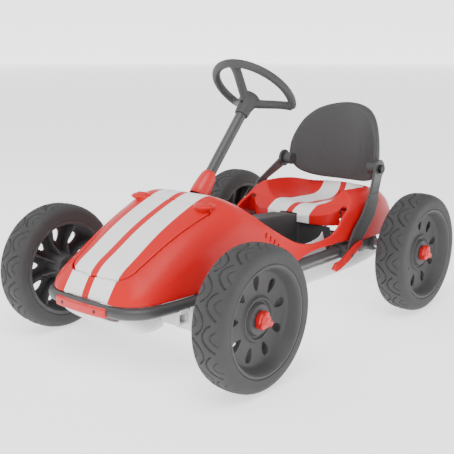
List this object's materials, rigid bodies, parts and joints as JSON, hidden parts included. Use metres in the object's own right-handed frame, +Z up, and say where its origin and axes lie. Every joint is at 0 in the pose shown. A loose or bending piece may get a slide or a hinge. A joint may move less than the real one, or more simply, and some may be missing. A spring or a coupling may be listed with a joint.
{
  "type": "pedal go kart",
  "caption": "Child's pedal go kart with a tube hoop frame, moulded striped body, steered front wheels, chain drive, folding column and sliding backrest.",
  "frame": {"origin": "on the ground, under the middle of the kart's length and width", "axes": "+X to the driver's left, -Y towards the nose, +Z up"},
  "size_m": [0.5686, 0.842, 0.5301],
  "materials": {
    "red_plastic": "satin moulded, two off-white stripes on top",
    "grey_plastic": "fine moulded grain",
    "dark_plastic": "fine moulded grain",
    "dark_frame": "powder coat, satin",
    "tyre_foam": "matte moulded",
    "steel": "zinc plated",
    "black_steel": "blackened"
  },
  "bodies": {
    "chassis": {"frame_hoop": "dark_frame", "bumper_plate": "red_plastic", "bumper_screws": "black_steel", "front_crossmember": "grey_plastic", "kingpin_bracket_left": "grey_plastic", "kingpin_bracket_right": "grey_plastic", "kingpins": "steel", "rear_carrier_left": "dark_plastic", "rear_carrier_right": "dark_plastic", "rear_axle_bushes": "dark_plastic", "rear_bridge": "dark_frame", "body_shell": "red_plastic", "lid_hinge_pins": "steel", "nose_pan": "grey_plastic", "floor_pan": "grey_plastic", "drive_tunnel": "dark_plastic", "crank_bushes": "dark_plastic", "chain": "steel", "column_bearing": "dark_plastic", "column_bracket": "dark_plastic"},
    "hood": {"hood_lid": "red_plastic"},
    "steering_lower": {"steering_shaft": "dark_frame", "fold_pin": "steel", "pitman_arm": "dark_frame"},
    "steering_upper": {"steering_column": "dark_frame", "steering_wheel": "dark_plastic", "wheel_screw": "black_steel"},
    "sleeve": {"steering_sleeve": "red_plastic"},
    "knuckle_left": {"knuckle_left": "dark_frame"},
    "knuckle_right": {"knuckle_right": "dark_frame"},
    "tie_rod_left": {"tie_rod_left": "dark_frame"},
    "tie_rod_right": {"tie_rod_right": "dark_frame"},
    "front_wheel_left": {"front_tyre_left": "tyre_foam", "front_rim_left": "dark_plastic", "front_hub_cap_left": "red_plastic"},
    "front_wheel_right": {"front_tyre_right": "tyre_foam", "front_rim_right": "dark_plastic", "front_hub_cap_right": "red_plastic"},
    "rear_wheels": {"rear_axle": "steel", "rear_tyre_left": "tyre_foam", "rear_tyre_right": "tyre_foam", "rear_rim_left": "dark_plastic", "rear_rim_right": "dark_plastic", "rear_hub_cap_left": "red_plastic", "rear_hub_cap_right": "red_plastic", "rear_sprocket": "steel"},
    "crank": {"crankshaft": "steel", "chainring": "steel"},
    "pedal_left": {"pedal_left": "dark_plastic"},
    "pedal_right": {"pedal_right": "dark_plastic"},
    "back_carriage": {"seat_clamp_left": "dark_plastic", "seat_clamp_right": "dark_plastic", "back_arm_left": "dark_frame", "back_arm_right": "dark_frame", "pivot_bolts": "black_steel"},
    "backrest": {"backrest": "dark_plastic"},
    "clamp_lever_left": {"clamp_lever_left": "red_plastic"},
    "clamp_lever_right": {"clamp_lever_right": "red_plastic"}
  },
  "joints": [
    {"name": "steering_turn", "type": "hinge", "parent": "chassis", "child": "steering_lower", "pos_m": [0, -0.27466, 0.09662], "axis": [0, 0.6639, 0.7478], "range_deg": [-20, 20]},
    {"name": "column_fold", "type": "hinge", "parent": "steering_lower", "child": "steering_upper", "pos_m": [0, -0.10954, 0.2826], "axis": [-1, 0, 0], "range_deg": [0, 45]},
    {"name": "sleeve_slide", "type": "slide", "parent": "steering_upper", "child": "sleeve", "axis": [0, 0.6639, 0.7478], "range_m": [0, 0.022]},
    {"name": "knuckle_left_turn", "type": "hinge", "parent": "chassis", "child": "knuckle_left", "pos_m": [0.165, -0.276, 0.1], "axis": [0, 0, 1], "range_deg": [-25, 25]},
    {"name": "knuckle_right_turn", "type": "hinge", "parent": "chassis", "child": "knuckle_right", "pos_m": [-0.165, -0.276, 0.1], "axis": [0, 0, 1], "range_deg": [-25, 25]},
    {"name": "tie_rod_left_swing", "type": "hinge", "parent": "knuckle_left", "child": "tie_rod_left", "pos_m": [0.165, -0.238, 0.066], "axis": [0, 0, 1], "range_deg": [-25, 25]},
    {"name": "tie_rod_right_swing", "type": "hinge", "parent": "knuckle_right", "child": "tie_rod_right", "pos_m": [-0.165, -0.238, 0.066], "axis": [0, 0, 1], "range_deg": [-25, 25]},
    {"name": "front_wheel_left_spin", "type": "hinge", "parent": "knuckle_left", "child": "front_wheel_left", "pos_m": [0.249, -0.26, 0.125], "axis": [1, 0, 0], "continuous": true},
    {"name": "front_wheel_right_spin", "type": "hinge", "parent": "knuckle_right", "child": "front_wheel_right", "pos_m": [-0.249, -0.26, 0.125], "axis": [1, 0, 0], "continuous": true},
    {"name": "rear_wheels_spin", "type": "hinge", "parent": "chassis", "child": "rear_wheels", "pos_m": [0, 0.296, 0.125], "axis": [1, 0, 0], "continuous": true},
    {"name": "crank_spin", "type": "hinge", "parent": "chassis", "child": "crank", "pos_m": [0, -0.07, 0.158], "axis": [1, 0, 0], "continuous": true},
    {"name": "pedal_left_spin", "type": "hinge", "parent": "crank", "child": "pedal_left", "pos_m": [0, -0.11751, 0.19127], "axis": [1, 0, 0], "continuous": true},
    {"name": "pedal_right_spin", "type": "hinge", "parent": "crank", "child": "pedal_right", "pos_m": [0, -0.02249, 0.12473], "axis": [1, 0, 0], "continuous": true},
    {"name": "back_slide", "type": "slide", "parent": "chassis", "child": "back_carriage", "axis": [0, 1, 0], "range_m": [-0.04, 0]},
    {"name": "backrest_fold", "type": "hinge", "parent": "back_carriage", "child": "backrest", "pos_m": [0, 0.337, 0.286], "axis": [-1, 0, 0], "range_deg": [-95, 0]},
    {"name": "clamp_lever_left_release", "type": "hinge", "parent": "back_carriage", "child": "clamp_lever_left", "pos_m": [0.159, 0.183, 0.124], "axis": [-1, 0, 0], "range_deg": [0, 55]},
    {"name": "clamp_lever_right_release", "type": "hinge", "parent": "back_carriage", "child": "clamp_lever_right", "pos_m": [-0.159, 0.183, 0.124], "axis": [-1, 0, 0], "range_deg": [0, 55]},
    {"name": "hood_open", "type": "hinge", "parent": "chassis", "child": "hood", "pos_m": [0, -0.187, 0.2805], "axis": [-1, 0, 0], "range_deg": [0, 65]}
  ],
  "couplings": [
    {"joint": "knuckle_left_turn", "follows": "steering_turn", "ratio": 1.2184},
    {"joint": "knuckle_right_turn", "follows": "steering_turn", "ratio": 1.2184},
    {"joint": "tie_rod_left_swing", "follows": "steering_turn", "ratio": -1.2184},
    {"joint": "tie_rod_right_swing", "follows": "steering_turn", "ratio": -1.2184},
    {"joint": "crank_spin", "follows": "rear_wheels_spin", "ratio": 0.58333}
  ]
}
